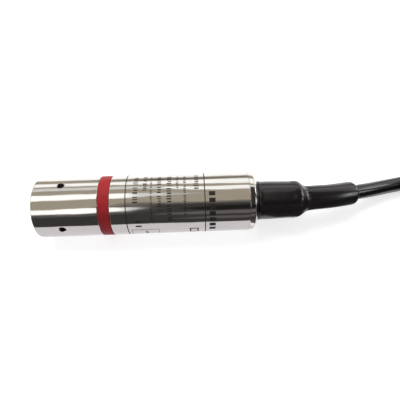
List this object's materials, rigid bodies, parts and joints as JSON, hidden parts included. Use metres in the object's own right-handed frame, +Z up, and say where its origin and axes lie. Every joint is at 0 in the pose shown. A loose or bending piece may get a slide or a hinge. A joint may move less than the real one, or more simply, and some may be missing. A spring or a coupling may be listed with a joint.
{
  "type": "submersible liquid level sensor",
  "caption": "Slim stainless pressure probe that hangs in a liquid by its vented cable, with a screwed nose cap, a red marker ring, a shrink boot and the spare cable in a tied hank.",
  "frame": {"origin": "under the middle of the probe, from its nose face to the end of its shrink boot, on the surface that it lies on; the free cable isn't counted", "axes": "+X along the probe from the nose to the cable, +Z up"},
  "size_m": [0.3148, 0.0913, 0.027],
  "materials": {
    "steel": "polished, with fine turning marks",
    "foil": "bright foil",
    "red_plastic": "matt, slightly darkened",
    "shrink_tube": "satin black shrink tube",
    "cable_jacket": "satin black sheath",
    "seal_rubber": "matt",
    "gilded_pin": "gilded",
    "liner": "matt",
    "laminate": "satin lacquer",
    "moulding": "matt",
    "ceramic": "glazed",
    "blue_plastic": "satin",
    "green_plastic": "satin",
    "red_insulation": "satin",
    "black_insulation": "satin",
    "white_insulation": "satin",
    "braid": "tinned",
    "vent_tube": "translucent",
    "nylon": "satin"
  },
  "bodies": {
    "probe": {"amplifier_chip": "moulding", "breather_tube": "vent_tube", "cable_entry": "cable_jacket", "cable_hank": "cable_jacket", "cable_run": "cable_jacket", "cable_tail": "cable_jacket", "carrier_seal": "seal_rubber", "cell_diaphragm": "foil", "cell_lead_1": "red_insulation", "cell_lead_2": "black_insulation", "cell_lead_3": "white_insulation", "cell_lead_4": "white_insulation", "cell_pin_1": "gilded_pin", "cell_pin_2": "gilded_pin", "cell_pin_3": "gilded_pin", "cell_pin_4": "gilded_pin", "cell_retainer": "steel", "cell_seal": "seal_rubber", "cell_vent_tube": "steel", "circuit_board": "laminate", "core_black": "black_insulation", "core_red": "red_insulation", "end_lead_black": "black_insulation", "end_lead_red": "red_insulation", "end_lead_screen": "braid", "end_vent_tube": "vent_tube", "filter_capacitor": "ceramic", "gland_bush": "seal_rubber", "gland_nut": "steel", "gland_washer": "steel", "hank_tie_1": "nylon", "hank_tie_2": "nylon", "housing_tube": "steel", "insulating_sleeve": "liner", "plug_seal": "seal_rubber", "pressure_cell": "steel", "rear_plug": "steel", "regulator_chip": "moulding", "sensor_carrier": "steel", "shrink_boot": "shrink_tube", "span_trimmer": "blue_plastic", "surge_arrester_1": "ceramic", "surge_arrester_2": "ceramic", "terminal_block": "green_plastic", "zero_trimmer": "blue_plastic"},
    "marker_ring": {"marker_ring": "red_plastic"},
    "nose_cap": {"nose_cap": "steel"}
  },
  "joints": [
    {"name": "cap_travel", "type": "slide", "parent": "probe", "child": "marker_ring", "axis": [-1, 0, 0], "range_m": [0, 0.00751]},
    {"name": "cap_turn", "type": "hinge", "parent": "marker_ring", "child": "nose_cap", "pos_m": [-0.07353, 0, 0.0135], "axis": [-1, 0, 0], "range_deg": [0, 1800]}
  ],
  "couplings": [
    {"joint": "cap_travel", "follows": "cap_turn", "m_per_rad": 0.00023873}
  ]
}
